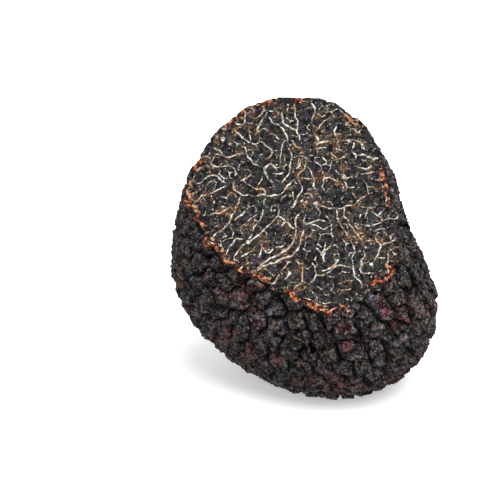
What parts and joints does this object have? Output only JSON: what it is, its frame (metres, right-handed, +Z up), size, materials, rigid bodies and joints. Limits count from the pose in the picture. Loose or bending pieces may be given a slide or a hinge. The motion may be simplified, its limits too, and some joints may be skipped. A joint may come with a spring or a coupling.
{
  "type": "black truffle",
  "caption": "Black truffle with polygonal warts over its dark skin and a flat slice cut away, which shows dark flesh with fine pale veins.",
  "frame": {"origin": "on the surface it rests on, under the middle of its bounding box", "axes": "+Z up; -Y to the front, the side that the cut face looks to; +X to the right seen from the front"},
  "size_m": [0.0544, 0.0518, 0.0577],
  "materials": {
    "truffle": "matte"
  },
  "bodies": {
    "root": {"truffle": "truffle"}
  },
  "joints": []
}
